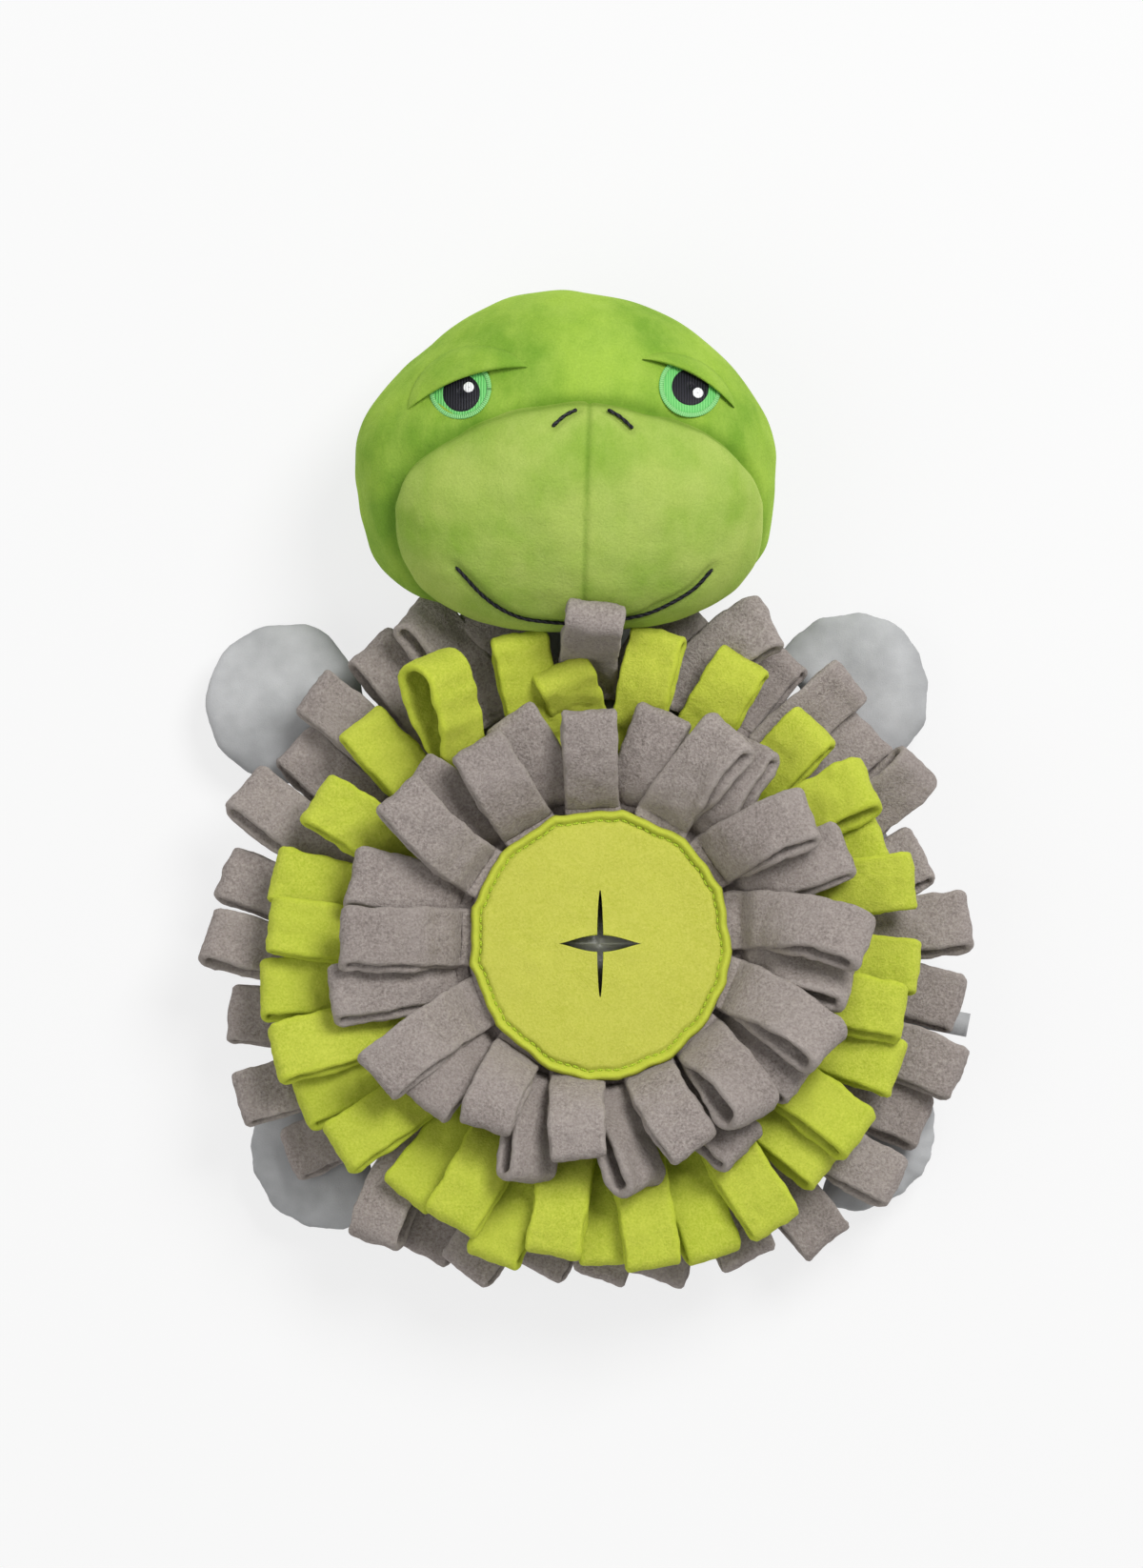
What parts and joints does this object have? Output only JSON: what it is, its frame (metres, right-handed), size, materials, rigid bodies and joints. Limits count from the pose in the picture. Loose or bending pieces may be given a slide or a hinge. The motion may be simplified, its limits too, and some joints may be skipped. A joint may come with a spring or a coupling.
{
  "type": "plush turtle snuffle toy",
  "caption": "Soft turtle toy lying on its back, with a stuffed round body, looped fleece fringe, a slit treat pocket, turning head and swinging flippers.",
  "frame": {"origin": "on the flat of the toy's back, under the middle of the round pocket cover", "axes": "+Z out of the belly, from the flat back to the fringe; +Y from the body to the head; +X to the viewer's right as the toy is seen from the front"},
  "size_m": [0.2342, 0.3008, 0.0871],
  "materials": {
    "crown_velboa": "short-pile plush, mid green",
    "muzzle_velboa": "short-pile plush, light green",
    "grey_fleece": "pebbled polar fleece, warm grey",
    "lime_fleece": "pebbled polar fleece, lime",
    "cover_felt": "soft felted fleece, lime",
    "pale_cloth": "smooth brushed cloth, pale grey",
    "pocket_lining": "smooth lining cloth, light grey",
    "filling": "loose polyester filling",
    "black_thread": "embroidery thread, black",
    "mint_thread": "embroidery thread, mint",
    "iris_thread": "embroidery thread, green",
    "white_thread": "embroidery thread, white",
    "lime_thread": "sewing thread, lime"
  },
  "bodies": {
    "body": {"back_panel": "pale_cloth", "front_panel": "pale_cloth", "body_filling": "filling", "treat_pocket": "pocket_lining", "pocket_cover": "cover_felt", "cover_stitching": "lime_thread", "neck": "pale_cloth", "side_label": "pale_cloth", "fringe_inner_lower": "grey_fleece", "fringe_inner_upper": "grey_fleece", "fringe_middle_lower": "lime_fleece", "fringe_middle_upper": "lime_fleece", "fringe_outer_lower": "grey_fleece", "fringe_outer_upper": "grey_fleece"},
    "head": {"head_back": "crown_velboa", "head_crown": "crown_velboa", "head_filling": "filling", "muzzle_left": "muzzle_velboa", "muzzle_right": "muzzle_velboa", "mouth_stitch": "black_thread", "eyelid_left": "crown_velboa", "eye_rim_left": "mint_thread", "eye_iris_left": "iris_thread", "eye_pupil_left": "black_thread", "eye_glint_left": "white_thread", "nostril_stitch_left": "black_thread", "eyelid_right": "crown_velboa", "eye_rim_right": "mint_thread", "eye_iris_right": "iris_thread", "eye_pupil_right": "black_thread", "eye_glint_right": "white_thread", "nostril_stitch_right": "black_thread"},
    "flipper_front_left": {"flipper_skin_front_left": "pale_cloth", "flipper_filling_front_left": "filling"},
    "flipper_front_right": {"flipper_skin_front_right": "pale_cloth", "flipper_filling_front_right": "filling"},
    "flipper_rear_left": {"flipper_skin_rear_left": "pale_cloth", "flipper_filling_rear_left": "filling"},
    "flipper_rear_right": {"flipper_skin_rear_right": "pale_cloth", "flipper_filling_rear_right": "filling"},
    "slit_flap_front_left": {"slit_flap_front_left": "cover_felt"},
    "slit_flap_front_right": {"slit_flap_front_right": "cover_felt"},
    "slit_flap_rear_left": {"slit_flap_rear_left": "cover_felt"},
    "slit_flap_rear_right": {"slit_flap_rear_right": "cover_felt"}
  },
  "joints": [
    {"name": "head_turn", "type": "hinge", "parent": "body", "child": "head", "pos_m": [-0.01, 0.112, 0.0138], "axis": [0, 1, 0], "range_deg": [-15, 15], "stiffness_Nm_per_rad": 0.25},
    {"name": "flipper_front_left_swing", "type": "hinge", "parent": "body", "child": "flipper_front_left", "pos_m": [-0.08379, 0.0636, 0.0125], "axis": [0, 0, 1], "range_deg": [-20, 20], "stiffness_Nm_per_rad": 0.02},
    {"name": "flipper_front_right_swing", "type": "hinge", "parent": "body", "child": "flipper_front_right", "pos_m": [0.07438, 0.07438, 0.0125], "axis": [0, 0, 1], "range_deg": [-20, 20], "stiffness_Nm_per_rad": 0.02},
    {"name": "flipper_rear_left_swing", "type": "hinge", "parent": "body", "child": "flipper_rear_left", "pos_m": [-0.08323, -0.06433, 0.0125], "axis": [0, 0, 1], "range_deg": [-20, 20], "stiffness_Nm_per_rad": 0.02},
    {"name": "flipper_rear_right_swing", "type": "hinge", "parent": "body", "child": "flipper_rear_right", "pos_m": [0.08456, -0.06257, 0.0125], "axis": [0, 0, 1], "range_deg": [-20, 20], "stiffness_Nm_per_rad": 0.02},
    {"name": "slit_flap_front_left_push", "type": "hinge", "parent": "body", "child": "slit_flap_front_left", "pos_m": [-0.00606, 0.00802, 0.05082], "axis": [0.6092, 0.793, 0], "range_deg": [0, 75], "stiffness_Nm_per_rad": 0.001},
    {"name": "slit_flap_front_right_push", "type": "hinge", "parent": "body", "child": "slit_flap_front_right", "pos_m": [0.00606, 0.00802, 0.05082], "axis": [0.6092, -0.793, 0], "range_deg": [0, 75], "stiffness_Nm_per_rad": 0.001},
    {"name": "slit_flap_rear_left_push", "type": "hinge", "parent": "body", "child": "slit_flap_rear_left", "pos_m": [-0.00606, -0.00802, 0.05082], "axis": [-0.6092, 0.793, 0], "range_deg": [0, 75], "stiffness_Nm_per_rad": 0.001},
    {"name": "slit_flap_rear_right_push", "type": "hinge", "parent": "body", "child": "slit_flap_rear_right", "pos_m": [0.00606, -0.00802, 0.05082], "axis": [-0.6092, -0.793, 0], "range_deg": [0, 75], "stiffness_Nm_per_rad": 0.001}
  ]
}
